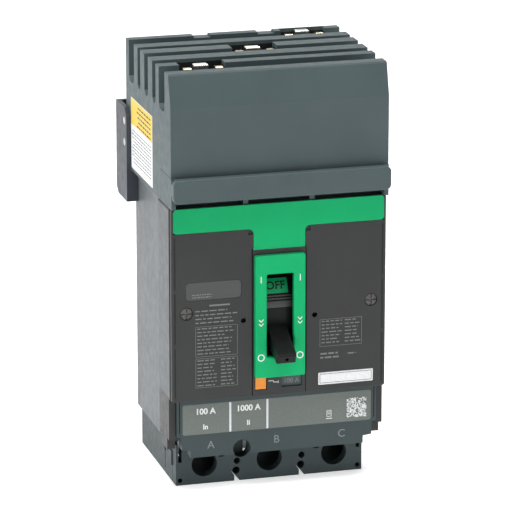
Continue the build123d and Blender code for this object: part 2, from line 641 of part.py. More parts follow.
def pole_cartridge(pole, x):
    """Insulating box round one pole's contacts, with a round seat for the rotor in each side."""
    wall = 1.2
    with BuildPart() as piece:
        block((x - CARTRIDGE_HALF, x + CARTRIDGE_HALF), (3.2, CARTRIDGE_DEPTH), CARTRIDGE_Z)
        block((x - CARTRIDGE_HALF + wall, x + CARTRIDGE_HALF - wall), (3.2 + wall, CARTRIDGE_DEPTH - wall),
              (CARTRIDGE_Z[0] + wall, CARTRIDGE_Z[1] - wall), mode=Mode.SUBTRACT)
        rod_x(x - 12, x + 12, ROTOR_AXIS, ROTOR_R + RUNNING, mode=Mode.SUBTRACT)
        block((x - 5.2, x + 5.2), (LINE_RUN - 1.4, LINE_RUN + 1.4), (120, 126), mode=Mode.SUBTRACT)
        block((x - 5.2, x + 5.2), (LOAD_RUN - 1.4, LOAD_RUN + 1.4), (50, 56), mode=Mode.SUBTRACT)
        for height in (54, 116):
            for depth in (20, 26, 32):
                block((x - 6, x + 6), (depth, depth + 2), (height - 60, height - 50), mode=Mode.SUBTRACT)
    save(piece, f"pole_cartridge_{pole}")


def arc_chutes(pole, x):
    """Two stacks of notched steel plates between insulating sheets, above and below the arm."""
    plate_z = (112.5, 123.6)
    with BuildPart() as piece:
        for flip in (False, True):
            for step in range(8):
                depth = 13.4 + 4 * step
                depths = (depth, depth + 1)
                heights = plate_z
                if flip:
                    depths = (2 * ROTOR_AXIS[0] - depth - 1, 2 * ROTOR_AXIS[0] - depth)
                    heights = (2 * ROTOR_AXIS[1] - plate_z[1], 2 * ROTOR_AXIS[1] - plate_z[0])
                block((x - 9, x + 9), depths, heights)
                mouth = heights[1] if flip else heights[0]
                tip = mouth - 5 if flip else mouth + 5
                front_profile([(x - 4, mouth), (x, tip), (x + 4, mouth)], depths[0] - 0.1, depths[1] + 0.1,
                              mode=Mode.SUBTRACT)
            sheet = sorted((13.0, 42.8)) if not flip else (54 - 42.8, 41.0)
            for side in (-1, 1):
                block(sorted((x + side * 9, x + side * 9.8)), sheet, heights)
    save(piece, f"arc_chutes_{pole}")


def rotor(pole, x):
    """Moulded rotor that carries the contact arm, with two holes for the crossbar rods."""
    with BuildPart() as piece:
        rod_x(x - CARTRIDGE_HALF, x + CARTRIDGE_HALF, ROTOR_AXIS, ROTOR_R)
        arm_line = [polar(ROTOR_AXIS, reach, ARM_REST) for reach in (-14, 14)]
        side_link(*arm_line, ARM_HALF_T + 0.35, x - 3.1, x + 3.1, mode=Mode.SUBTRACT)
        for degrees in (ROD_REST, ROD_REST + 180):
            rod_x(x - 12, x + 12, polar(ROTOR_AXIS, ROD_RADIUS, degrees), ROD_R, mode=Mode.SUBTRACT)
    save(piece, f"rotor_{pole}")


def contact_arms():
    """Double-break contact arms with a silver tip on each end, one per pole."""
    with BuildPart() as piece:
        for x in POLES.values():
            reach = ARM_REACH - ARM_HALF_T
            ends = [polar(ROTOR_AXIS, sign * reach, ARM_REST) for sign in (-1, 1)]
            side_link(*ends, ARM_HALF_T, x - 2.8, x + 2.8)
            for sign in (1, -1):
                face = ARM_REST + sign * 90
                tip = []
                for reach in (15.5, 20.5):
                    tip.append(polar(polar(ROTOR_AXIS, sign * reach, ARM_REST), ARM_HALF_T - 0.4, face))
                side_link(*tip, 0.8, x - 2.6, x + 2.6)
    save(piece, "contact_arms")


def crossbar_rods():
    """Two steel rods through all three rotors, which turn them as one."""
    with BuildPart() as piece:
        for degrees in (ROD_REST, ROD_REST + 180):
            rod_x(-POLE_PITCH - 11, POLE_PITCH + 11, polar(ROTOR_AXIS, ROD_RADIUS, degrees), ROD_R)
    save(piece, "crossbar_rods")


# --- Toggle mechanism -------------------------------------------------------------------------

FRAME_X = (15.4, 16.6)
YOKE_X = (14.1, 15.1)
LOWER_X = (12.2, 13.8)
UPPER_X = (10.4, 12.0)
CRADLE_X = (8.6, 10.2)
BRIDGE_R = (21.4, 23.4)
DRUM_R = (24.2, 26.2)
DRUM_HALF = 62           # half of the angle that the drum spans
DRUM_WIDE = 8.1          # half of the drum's width
HANDLE_REACH = 47.8
KNEE_CLEARANCE = 4.0     # radius of the open eye at the knee


def both_sides(xs):
    """The same x range on the right and on the left."""
    return [xs, (-xs[1], -xs[0])]


def side_frames():
    """Steel side plates of the mechanism, with the stub pins of the yoke and the cradle's pin."""
    outline = [(49.8, 61), (49.8, 119), (58, 121.5), (66.5, 121.5), (76, 108), (76, 72), (66, 61)]
    with BuildPart() as piece:
        for xs in both_sides(FRAME_X):
            side_profile(outline, *xs)
            rod_x(*xs, (64, 98), 5.5, mode=Mode.SUBTRACT)
            rod_x(*xs, (66, 73), 4.0, mode=Mode.SUBTRACT)
        for xs in both_sides((YOKE_X[0], FRAME_X[1])):
            rod_x(*xs, TOGGLE_PIVOT, 2.0)
        for xs in both_sides((CRADLE_X[0], FRAME_X[1])):
            rod_x(*xs, CRADLE_PIVOT, 2.0)
        rod_x(-FRAME_X[1], FRAME_X[1], (53.2, 117.5), 1.4)
    save(piece, "side_frames")


def toggle_yoke():
    """Steel yoke under the toggle: two legs on the stub pins and a bridge across."""
    foot = polar(TOGGLE_PIVOT, 19.8, TOGGLE_REST)
    with BuildPart() as piece:
        for xs in both_sides(YOKE_X):
            side_link(TOGGLE_PIVOT, foot, 3.6, *xs)
            rod_x(*xs, TOGGLE_PIVOT, 2.0 + RUNNING, mode=Mode.SUBTRACT)
        bridge = []
        for radius, turn in ((BRIDGE_R[0], -10), (BRIDGE_R[0], 10), (BRIDGE_R[1], 9), (BRIDGE_R[1], -9)):
            bridge.append(polar(TOGGLE_PIVOT, radius, TOGGLE_REST + turn))
        side_profile(bridge, -YOKE_X[1], YOKE_X[1])
    save(piece, "toggle_yoke")


def toggle():
    """Plastic toggle: a curved drum that closes the opening and a tapered handle."""
    with BuildPart() as piece:
        with BuildSketch(side_plane(DRUM_WIDE)) as outline:
            with Locations(TOGGLE_PIVOT):
                Circle(DRUM_R[1])
                Circle(DRUM_R[0], mode=Mode.SUBTRACT)
            wedge = [TOGGLE_PIVOT]
            for turn in (-DRUM_HALF, -30, 0, 30, DRUM_HALF):
                wedge.append(polar(TOGGLE_PIVOT, 44, TOGGLE_REST + turn))
            with BuildLine():
                Polyline(*wedge, close=True)
            make_face(mode=Mode.INTERSECT)
        extrude(outline.sketch, amount=2 * DRUM_WIDE)
        stem = []
        for radius, turn in ((BRIDGE_R[1], -9), (BRIDGE_R[1], 9), (25, 8), (25, -8)):
            stem.append(polar(TOGGLE_PIVOT, radius, TOGGLE_REST + turn))
        side_profile(stem, -6, 6)
        handle = []
        for radius, offset_r in ((25.0, -3.6), (25.0, 3.6), (HANDLE_REACH, 2.4), (HANDLE_REACH, -2.4)):
            centre = polar(TOGGLE_PIVOT, radius, TOGGLE_REST)
            handle.append(polar(centre, offset_r, TOGGLE_REST + 90))
        side_profile(handle, -4.6, 4.6)
        handle_end = piece.faces().sort_by(Axis.Y)[0]
        fillet(handle_end.outer_wire().edges(), 0.7)
        # small hole in the handle's end
        start = polar(TOGGLE_PIVOT, HANDLE_REACH - 1.2, TOGGLE_REST)
        outward = (0, -cos(radians(TOGGLE_REST)), sin(radians(TOGGLE_REST)))
        end_plane = Plane(origin=(0, REAR_Y - start[0], start[1]), z_dir=outward)
        with BuildSketch(end_plane) as dimple:
            Circle(0.9)
        extrude(dimple.sketch, amount=2.4, mode=Mode.SUBTRACT)
    save(piece, "toggle")


def toggle_springs():
    """Two tension springs between the yoke's bridge and the knee, as plain closed coils."""
    top = polar(TOGGLE_PIVOT, BRIDGE_R[0] - 1.7, TOGGLE_REST)
    reach = Vector(KNEE[0] - top[0], KNEE[1] - top[1])
    end = (top[0] + reach.X * 0.88, top[1] + reach.Y * 0.88)
    with BuildPart() as piece:
        for x in (-4.2, 4.2):
            start = Vector(x, REAR_Y - top[0], top[1])
            finish = Vector(x, REAR_Y - end[0], end[1])
            with BuildSketch(Plane(origin=start, z_dir=finish - start)) as ring:
                Circle(2.4)
                Circle(1.5, mode=Mode.SUBTRACT)
            extrude(ring.sketch, amount=(finish - start).length)
    save(piece, "toggle_springs")


def upper_links():
    """Pair of links from the cradle to the knee pin."""
    with BuildPart() as piece:
        for xs in both_sides(UPPER_X):
            side_link(UPPER_LINK_PIVOT, KNEE, 2.8, *xs)
            rod_x(*xs, UPPER_LINK_PIVOT, PIN_R + RUNNING, mode=Mode.SUBTRACT)
            rod_x(*xs, KNEE, PIN_R, mode=Mode.SUBTRACT)
    save(piece, "upper_links")


def knee_pin():
    """Steel pin at the knee of the linkage."""
    with BuildPart() as piece:
        rod_x(-LOWER_X[1], LOWER_X[1], KNEE, PIN_R)
    save(piece, "knee_pin")


def lower_links():
    """Pair of links from the knee to the front crossbar rod, open at the knee."""
    rod = polar(ROTOR_AXIS, ROD_RADIUS, ROD_REST)
    with BuildPart() as piece:
        for xs in both_sides(LOWER_X):
            side_link(rod, KNEE, 2.7, *xs)
            rod_x(*xs, KNEE, KNEE_CLEARANCE + 1.2)
            rod_x(*xs, rod, ROD_R + RUNNING, mode=Mode.SUBTRACT)
            rod_x(*xs, KNEE, KNEE_CLEARANCE, mode=Mode.SUBTRACT)
    save(piece, "lower_links")


def cradle():
    """Latched lever that anchors the upper links and lets them go when the breaker trips."""
    brace = (66.3, 70.5)
    tip = (61.6, 58.6)
    with BuildPart() as piece:
        for xs in both_sides(CRADLE_X):
            side_link(CRADLE_PIVOT, UPPER_LINK_PIVOT, 2.6, *xs)
            side_link(UPPER_LINK_PIVOT, brace, 2.4, *xs)
            rod_x(*xs, CRADLE_PIVOT, 4.0)
            rod_x(*xs, CRADLE_PIVOT, 2.0 + RUNNING, mode=Mode.SUBTRACT)
        rod_x(-CRADLE_X[1], CRADLE_X[1], brace, 1.4)
        side_link(brace, tip, 2.2, *CRADLE_X)
        block((0.5, CRADLE_X[1]), (61.0, 64.0), (56.2, 58.6))
        for xs in both_sides((CRADLE_X[0], UPPER_X[1])):
            rod_x(*xs, UPPER_LINK_PIVOT, PIN_R)
    save(piece, "cradle")


def trip_bar():
    """Insulating bar across the poles with a finger for each pole, a catch and a push arm."""
    depth, height = TRIP_BAR_AXIS
    with BuildPart() as piece:
        rod_x(-43.5, 43.5, TRIP_BAR_AXIS, 2.0)
        for x in POLES.values():
            block((x - 6.5, x + 6.5), (depth - 1.2, depth - 0.2), (44.0, height))
        block((1, 7), (depth + 0.4, 61.4), (height - 1, 55.6))
        block((-10.4, -7.4), (depth - 0.8, depth + 0.4), (height, 57.2))
    save(piece, "trip_bar")


def push_to_trip_button():
    """Button in the centre column with a plunger that turns the trip bar."""
    with BuildPart() as piece:
        block((-11.6, -6.2), (79.6, FACE_DEPTH - 0.3), (50.4, 56.6))
        fillet(piece.faces().sort_by(Axis.Y)[0].outer_wire().edges(), 0.4)
        block((-10.2, -7.6), (60.4, 80), (53.4, 56.0))
    save(piece, "push_to_trip_button")


crossbar_rods()
contact_arms()
side_frames()
toggle_yoke()
toggle()
toggle_springs()
upper_links()
knee_pin()
lower_links()
cradle()
trip_bar()
push_to_trip_button()
for pole_name, pole_x in POLES.items():
    pole_cartridge(pole_name, pole_x)
    arc_chutes(pole_name, pole_x)
    rotor(pole_name, pole_x)
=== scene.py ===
import json
import random
from math import atan2, cos, pi, radians, sin

import bmesh
import bpy
from mathutils import Matrix, Vector


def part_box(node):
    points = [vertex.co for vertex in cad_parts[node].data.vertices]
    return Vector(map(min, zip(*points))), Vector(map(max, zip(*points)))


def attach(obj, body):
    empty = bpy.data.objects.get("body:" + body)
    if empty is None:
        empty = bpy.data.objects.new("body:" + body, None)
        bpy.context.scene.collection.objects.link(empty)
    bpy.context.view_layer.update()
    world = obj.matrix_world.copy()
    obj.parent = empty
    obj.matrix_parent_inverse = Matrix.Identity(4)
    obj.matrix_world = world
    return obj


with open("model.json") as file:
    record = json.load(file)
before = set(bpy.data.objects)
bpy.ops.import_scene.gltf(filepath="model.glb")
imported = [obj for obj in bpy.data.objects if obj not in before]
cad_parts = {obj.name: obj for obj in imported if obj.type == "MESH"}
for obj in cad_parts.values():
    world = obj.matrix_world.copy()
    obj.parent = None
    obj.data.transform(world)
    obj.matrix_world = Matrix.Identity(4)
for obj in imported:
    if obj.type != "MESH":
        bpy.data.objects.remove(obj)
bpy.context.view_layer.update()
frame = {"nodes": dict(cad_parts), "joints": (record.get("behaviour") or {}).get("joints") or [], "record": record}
nodes = frame["nodes"]
MM = 0.001

# How far a print stands off its face and how far it reaches into it, in millimetres.
PRINT_PROUD = 0.05
PRINT_SINK = 0.02


def joint_point(name):
    """The place of a hinge, as (y, z) in metres."""
    for joint in frame["joints"]:
        if joint["name"] == name:
            return joint["pos_m"][1], joint["pos_m"][2]


# --- Materials --------------------------------------------------------------------------------

def link(tree, from_node, from_socket, to_node, to_socket):
    tree.links.new(from_node.outputs[from_socket], to_node.inputs[to_socket])


def new_material(name):
    """A fresh material with only a shader in it, and the object coordinates."""
    material = bpy.data.materials.new(name)
    material.use_nodes = True
    tree = material.node_tree
    shader = tree.nodes["Principled BSDF"]
    coords = tree.nodes.new("ShaderNodeTexCoord")
    return material, tree, shader, coords


def noise(tree, coords, scale, detail=3.0, stretch=None):
    """Noise in object space. stretch scales each axis, for brushed or drawn surfaces."""
    texture = tree.nodes.new("ShaderNodeTexNoise")
    texture.inputs["Scale"].default_value = scale
    texture.inputs["Detail"].default_value = detail
    if stretch:
        mapping = tree.nodes.new("ShaderNodeMapping")
        mapping.inputs["Scale"].default_value = stretch
        link(tree, coords, "Object", mapping, "Vector")
        link(tree, mapping, "Vector", texture, "Vector")
    else:
        link(tree, coords, "Object", texture, "Vector")
    return texture


def ramp(tree, source, socket, stops):
    """A colour ramp fed by a texture. stops are (place, colour or grey)."""
    node = tree.nodes.new("ShaderNodeValToRGB")
    elements = node.color_ramp.elements
    while len(elements) < len(stops):
        elements.new(0.5)
    for element, (place, colour) in zip(elements, stops):
        element.position = place
        rgb = colour if isinstance(colour, tuple) else (colour, colour, colour)
        element.color = (*rgb, 1)
    link(tree, source, socket, node, "Fac")
    return node


def tint(colour, factor):
    return tuple(min(1.0, channel * factor) for channel in colour)


def edge_mask(tree, radius):
    """White on sharp outer and inner edges: the bevelled normal compared with the true one."""
    bevel = tree.nodes.new("ShaderNodeBevel")
    bevel.samples = 4
    bevel.inputs["Radius"].default_value = radius
    geometry = tree.nodes.new("ShaderNodeNewGeometry")
    dot = tree.nodes.new("ShaderNodeVectorMath")
    dot.operation = "DOT_PRODUCT"
    link(tree, bevel, "Normal", dot, 0)
    link(tree, geometry, "Normal", dot, 1)
    mask = tree.nodes.new("ShaderNodeMapRange")
    mask.inputs["From Min"].default_value = 0.99
    mask.inputs["From Max"].default_value = 0.75
    link(tree, dot, "Value", mask, "Value")
    return mask


def moulded(name, colour, rough=0.5, grain=1400.0, bump=0.12, wear=1.5, specular=0.22):
    """Moulded plastic: cloudy colour, fine spark-eroded grain, patchy gloss and rubbed edges."""
    material, tree, shader, coords = new_material(name)
    clouds = noise(tree, coords, 35.0, 4.0)
    shade = ramp(tree, clouds, "Fac", [(0.3, tint(colour, 0.93)), (0.7, tint(colour, 1.07))])
    mask = edge_mask(tree, 0.0004)
    patchy = noise(tree, coords, 260.0, 2.0)
    worn = tree.nodes.new("ShaderNodeMath")
    worn.operation = "MULTIPLY"
    link(tree, mask, "Result", worn, 0)
    link(tree, patchy, "Fac", worn, 1)
    mix = tree.nodes.new("ShaderNodeMix")
    mix.data_type = "RGBA"
    mix.inputs["B"].default_value = (*tint(colour, wear), 1)
    tree.links.new(worn.outputs[0], mix.inputs["Factor"])
    tree.links.new(shade.outputs["Color"], mix.inputs["A"])
    tree.links.new(mix.outputs["Result"], shader.inputs["Base Color"])
    gloss = ramp(tree, patchy, "Fac", [(0.3, max(rough - 0.05, 0)), (0.7, rough + 0.06)])
    link(tree, gloss, "Color", shader, "Roughness")
    shader.inputs["Specular IOR Level"].default_value = specular
    fine = noise(tree, coords, grain, 2.0)
    height = tree.nodes.new("ShaderNodeBump")
    height.inputs["Strength"].default_value = bump
    height.inputs["Distance"].default_value = 0.0001
    link(tree, fine, "Fac", height, "Height")
    link(tree, height, "Normal", shader, "Normal")
    return material


def metal(name, colour, rough=0.3, stretch=(1, 1, 1), scratch=0.15, tarnish=0.8):
    """Metal with a drawn or rolled grain, tarnish in patches and bright edges."""
    material, tree, shader, coords = new_material(name)
    shader.inputs["Metallic"].default_value = 1.0
    patches = noise(tree, coords, 120.0, 5.0)
    shade = ramp(tree, patches, "Fac", [(0.35, tint(colour, tarnish)), (0.6, colour)])
    mask = edge_mask(tree, 0.0002)
    mix = tree.nodes.new("ShaderNodeMix")
    mix.data_type = "RGBA"
    mix.inputs["B"].default_value = (*tint(colour, 1.25), 1)
    tree.links.new(mask.outputs["Result"], mix.inputs["Factor"])
    tree.links.new(shade.outputs["Color"], mix.inputs["A"])
    tree.links.new(mix.outputs["Result"], shader.inputs["Base Color"])
    lines = noise(tree, coords, 900.0, 3.0, stretch)
    gloss = ramp(tree, lines, "Fac", [(0.3, rough * 0.8), (0.7, rough * 1.3)])
    link(tree, gloss, "Color", shader, "Roughness")
    height = tree.nodes.new("ShaderNodeBump")
    height.inputs["Strength"].default_value = scratch
    height.inputs["Distance"].default_value = 0.00005
    link(tree, lines, "Fac", height, "Height")
    link(tree, height, "Normal", shader, "Normal")
    return material


def printed(name, colour, rough=0.45, metallic=0.0):
    """Printed film or ink: a slightly uneven coat with fine dots."""
    material, tree, shader, coords = new_material(name)
    shader.inputs["Metallic"].default_value = metallic
    dots = noise(tree, coords, 1600.0, 2.0)
    shade = ramp(tree, dots, "Fac", [(0.35, tint(colour, 0.94)), (0.65, tint(colour, 1.05))])
    link(tree, shade, "Color", shader, "Base Color")
    slow = noise(tree, coords, 60.0, 2.0)
    gloss = ramp(tree, slow, "Fac", [(0.3, rough - 0.06), (0.7, rough + 0.06)])
    link(tree, gloss, "Color", shader, "Roughness")
    shader.inputs["Specular IOR Level"].default_value = 0.25
    height = tree.nodes.new("ShaderNodeBump")
    height.inputs["Strength"].default_value = 0.06
    height.inputs["Distance"].default_value = 0.00005
    link(tree, dots, "Fac", height, "Height")
    link(tree, height, "Normal", shader, "Normal")
    return material


def smoked_window(name):
    """Dark smoked plastic with faint scuffs."""
    material, tree, shader, coords = new_material(name)
    shader.inputs["Base Color"].default_value = (0.042, 0.044, 0.044, 1)
    shader.inputs["IOR"].default_value = 1.45
    scuffs = noise(tree, coords, 90.0, 3.0, (1, 1, 2))
    gloss = ramp(tree, scuffs, "Fac", [(0.4, 0.18), (0.7, 0.26)])
    link(tree, gloss, "Color", shader, "Roughness")
    return material


SLATE = (0.062, 0.086, 0.090)
look = {
    "case_plastic": moulded("case_plastic", (0.122, 0.134, 0.143), 0.46, wear=1.4),
    "side_plastic": moulded("side_plastic", (0.096, 0.107, 0.113), 0.46, wear=1.4),
    "cover_plastic": moulded("cover_plastic", (0.034, 0.0345, 0.035), 0.42, bump=0.08, wear=1.8),
    "housing_plastic": moulded("housing_plastic", SLATE, 0.47, wear=1.6),
    "green_plastic": moulded("green_plastic", (0.001, 0.38, 0.132), 0.42, bump=0.06, wear=1.2, specular=0.15),
    "toggle_plastic": moulded("toggle_plastic", (0.006, 0.0063, 0.0064), 0.36, wear=2.2, specular=0.16),
    "orange_plastic": moulded("orange_plastic", (0.76, 0.26, 0.045), 0.4, bump=0.06, wear=1.2),
    "rating_print": printed("rating_print", (0.138, 0.156, 0.142), 0.42),
    "label_white": printed("label_white", (0.72, 0.73, 0.74), 0.5),
    "window_clear": smoked_window("window_clear"),
    "zinc_steel": metal("zinc_steel", (0.58, 0.58, 0.55), 0.34, (1, 1, 0.2)),
    "bracket_steel": moulded("bracket_steel", (0.046, 0.053, 0.064), 0.45, bump=0.05, wear=2.0),
    "black_oxide": metal("black_oxide", (0.10, 0.098, 0.095), 0.4, (1, 1, 0.3), 0.1),
    "chute_steel": metal("chute_steel", (0.40, 0.40, 0.40), 0.4, (0.2, 1, 1)),
    "spring_steel": metal("spring_steel", (0.45, 0.45, 0.46), 0.3),
    "copper": metal("copper", (0.78, 0.40, 0.25), 0.3, (1, 1, 0.2), 0.12, 0.7),
    "bimetal": metal("bimetal", (0.62, 0.56, 0.45), 0.3, (1, 1, 0.2)),
    "silver_plate": metal("silver_plate", (0.93, 0.88, 0.76), 0.24, (1, 1, 0.3), 0.1, 0.86),
    "jaw_spring": metal("jaw_spring", (0.90, 0.80, 0.58), 0.26, (1, 1, 0.3), 0.1, 0.8),
    "lug_aluminium": metal("lug_aluminium", (0.72, 0.73, 0.74), 0.32, (0.2, 1, 1)),
    "inner_plastic": moulded("inner_plastic", (0.36, 0.31, 0.22), 0.55, bump=0.15, wear=1.3),
}
ink_white = printed("ink_white", (0.72, 0.74, 0.74), 0.5)
ink_grey = printed("ink_grey", (0.17, 0.175, 0.175), 0.5)
ink_dark = printed("ink_dark", (0.012, 0.014, 0.014), 0.5)
ink_yellow = printed("ink_yellow", (0.72, 0.50, 0.07), 0.5)
ink_green = printed("ink_green", (0.004, 0.40, 0.14), 0.4)
ink_silver = printed("ink_silver", (0.62, 0.66, 0.70), 0.35)
# Drum ridges in a lighter grey than the toggle plastic: the lighter grey is a painted sheen.
ridge_painted_sheen = moulded("ridge_painted_sheen", (0.045, 0.046, 0.047), 0.3, bump=0.05, specular=0.5)
# Near black, for painted shade in slots, gaps and recesses.
painted_recess_shade = moulded("painted_recess_shade", (0.012, 0.012, 0.013), 0.5)
trip_plastic = moulded("trip_plastic", tint(SLATE, 0.68), 0.5, wear=1.8)

for entry in frame["record"]["subparts"]:
    slots = nodes[entry["node"]].data.materials
    slots.clear()
    slots.append(look[entry["material_slot"]])
# The trip unit and the lug block are moulded in a darker slate than the housing.
for darker_node in ("trip_unit_case", "lug_block"):
    nodes[darker_node].data.materials[0] = trip_plastic


# --- Building blocks --------------------------------------------------------------------------

def mesh_piece(name, builder, material, body="case", bevel=0.0):
    """Makes an object from a bmesh builder and hands it to a body."""
    mesh = bpy.data.meshes.new(name)
    shape = bmesh.new()
    builder(shape)
    bmesh.ops.recalc_face_normals(shape, faces=shape.faces)
    shape.to_mesh(mesh)
    shape.free()
    piece = bpy.data.objects.new(name, mesh)
    bpy.context.scene.collection.objects.link(piece)
    mesh.materials.append(material)
    if bevel:
        modifier = piece.modifiers.new("bevel", "BEVEL")
        modifier.width = bevel
        modifier.segments = 2
        modifier.limit_method = "ANGLE"
    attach(piece, body)
    return piece


def add_prism(shape, points, thickness_axis, start, end):
    """Adds a prism to a bmesh. points are 2-D in the plane across the axis, which is 'x' or 'y'."""
    rings = []
    for value in (start, end):
        ring = []
        for a, b in points:
            place = (value, a, b) if thickness_axis == "x" else (a, value, b)
            ring.append(shape.verts.new(place))
        rings.append(ring)
    shape.faces.new(rings[0])
    shape.faces.new(list(reversed(rings[1])))
    count = len(points)
    for index in range(count):
        after = (index + 1) % count
        shape.faces.new((rings[0][index], rings[0][after], rings[1][after], rings[1][index]))


def add_ring(shape, x, z, radii, steps, y_from, y_to):
    """Adds a flat ring on a front face. radii are the outer and inner radius in millimetres."""
    for step in range(steps):
        turns = (2 * pi * step / steps, 2 * pi * (step + 1) / steps)
        points = []
        for pick_radius, pick_turn in ((0, 0), (0, 1), (1, 1), (1, 0)):
            radius = radii[pick_radius]
            turn = turns[pick_turn]
            points.append(((x + radius * cos(turn)) * MM, (z + radius * sin(turn)) * MM))
        add_prism(shape, points, "y", y_from, y_to)
    bmesh.ops.remove_doubles(shape, verts=shape.verts, dist=1e-6)


def rectangle(low_a, high_a, low_b, high_b):
    return [(low_a, low_b), (high_a, low_b), (high_a, high_b), (low_a, high_b)]


def rounded(low_a, high_a, low_b, high_b, radius, steps=5):
    """Points of a rectangle with round corners."""
    points = []
    corners = [(high_a - radius, high_b - radius, 0), (low_a + radius, high_b - radius, 90),
               (low_a + radius, low_b + radius, 180), (high_a - radius, low_b + radius, 270)]
    for centre_a, centre_b, start in corners:
        for step in range(steps + 1):
            turn = radians(start + 90 * step / steps)
            points.append((centre_a + radius * cos(turn), centre_b + radius * sin(turn)))
    return points


def front_bars(name, bars, face_y, material, body="case", proud=PRINT_PROUD):
    """Thin printed bars on a front face. Each bar is (x from, x to, z from, z to) in millimetres."""
    def build(shape):
        for x_from, x_to, z_from, z_to in bars:
            outline = rectangle(x_from * MM, x_to * MM, z_from * MM, z_to * MM)
            add_prism(shape, outline, "y", face_y - proud * MM, face_y + PRINT_SINK * MM)
    return mesh_piece(name, build, material, body)


def frame_bars(x_from, x_to, z_from, z_to, line):
    """The four bars of an outline."""
    return [(x_from, x_to, z_to - line, z_to), (x_from, x_to, z_from, z_from + line),
            (x_from, x_from + line, z_from, z_to), (x_to - line, x_to, z_from, z_to)]


def text_piece(name, text, height, x, z, face_y, material, body="case", proud=PRINT_PROUD, bold=0.0):
    """Flat lettering on a front face, centred at x and z in millimetres."""
    curve = bpy.data.curves.new(name + "_curve", "FONT")
    curve.body = text
    curve.size = height * MM * 1.38
    curve.align_x = "CENTER"
    curve.align_y = "CENTER"
    curve.extrude = proud * MM
    curve.offset = bold * MM
    source = bpy.data.objects.new(name + "_source", curve)
    bpy.context.scene.collection.objects.link(source)
    bpy.context.view_layer.update()
    mesh = bpy.data.meshes.new_from_object(source.evaluated_get(bpy.context.evaluated_depsgraph_get()))
    bpy.data.objects.remove(source)
    mesh.name = name
    mesh.transform(Matrix.Translation((x * MM, face_y, z * MM)) @ Matrix.Rotation(pi / 2, 4, "X"))
    mesh.materials.clear()
    mesh.materials.append(material)
    piece = bpy.data.objects.new(name, mesh)
    bpy.context.scene.collection.objects.link(piece)
    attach(piece, body)
    return piece


# --- Printed faces and small parts ------------------------------------------------------------

COVER_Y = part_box("accessory_cover")[0].y
RATING_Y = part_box("rating_plate")[0].y
TRIP_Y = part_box("trip_unit_case")[0].y
SURROUND_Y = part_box("escutcheon")[0].y
HOUSING_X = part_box("plug_on_housing")[0].x
rng = random.Random(7)


def print_lines(x_from, x_to, z_top, z_bottom, pitch, height, words=(1.2, 3.4), gap=0.7):
    """Rows of short dashes that stand for small print."""
    bars = []
    z = z_top
    while z - height > z_bottom:
        x = x_from
        end = x_to - rng.uniform(0, 0.3) * (x_to - x_from)
        while x < end:
            width = rng.uniform(*words)
            bars.append((x, min(x + width, end), z - height, z))
            x += width + gap
        z -= pitch
    return bars


def cover_print():
    """Outlined boxes and blank lines of the cover, in place of small print."""
    bars = frame_bars(-40.7, -20.3, 69.0, 83.8, 0.16) + frame_bars(-40.7, -20.3, 53.8, 68.2, 0.16)
    bars += frame_bars(19.9, 40.6, 69.2, 82.6, 0.16)
    bars += print_lines(-39.9, -21.4, 83.0, 69.4, 1.75, 0.5)
    bars += print_lines(-39.9, -29.6, 67.4, 54.4, 1.75, 0.5)
    bars += print_lines(-28.4, -21.2, 67.4, 54.4, 1.75, 0.5)
    bars += print_lines(20.8, 31.0, 81.8, 69.8, 1.75, 0.5)
    bars += print_lines(32.2, 40.0, 81.8, 69.8, 1.75, 0.5)
    bars += print_lines(-40.7, -19.0, 91.6, 84.6, 1.9, 0.55)
    bars += print_lines(20.2, 30.0, 66.0, 63.0, 1.9, 0.8)
    bars += print_lines(33.8, 38.0, 65.2, 63.4, 1.9, 0.6)
    bars += [(-34.0, -24.0, 93.4, 94.2)]
    front_bars("cover_small_print", bars, COVER_Y, ink_grey)


def cover_seals():
    """Dark seam strips along both edges of the cover, in three lengths each."""
    bars = []
    for side in (-1, 1):
        edge = side * 50.9
        for z_from, z_to in ((49.5, 74), (76, 100.5), (102.5, 127.5)):
            bars.append((*sorted((edge, edge - side * 0.7)), z_from, z_to))
    front_bars("cover_seam_strips", bars, COVER_Y, ink_dark, proud=0.12)


def surround_marks():
    """Generic on, off and direction marks on both sides of the toggle's opening."""
    front = SURROUND_Y - PRINT_PROUD * MM
    back = SURROUND_Y + PRINT_SINK * MM
    for side, tag in ((-1, "left"), (1, "right")):
        x = side * 9.5
        on_bar = [(x - 0.22, x + 0.22, 103.4, 106.6)]
        front_bars("on_mark_" + tag, on_bar, SURROUND_Y, ink_white)

        def ring(shape, x=x):
            add_ring(shape, x, 66.9, (1.75, 1.25), 28, front, back)
        mesh_piece("off_mark_" + tag, ring, ink_white, "case")

        def chevrons(shape, x=x):
            for z in (85.0, 83.0):
                for lean in (-1, 1):
                    points = [(x * MM, (z - 0.8) * MM), ((x + lean * 1.1) * MM, (z + 0.3) * MM),
                              ((x + lean * 1.1) * MM, (z + 0.9) * MM), (x * MM, (z - 0.2) * MM)]
                    add_prism(shape, points, "y", front, back)
        mesh_piece("direction_mark_" + tag, chevrons, ink_white, "case")


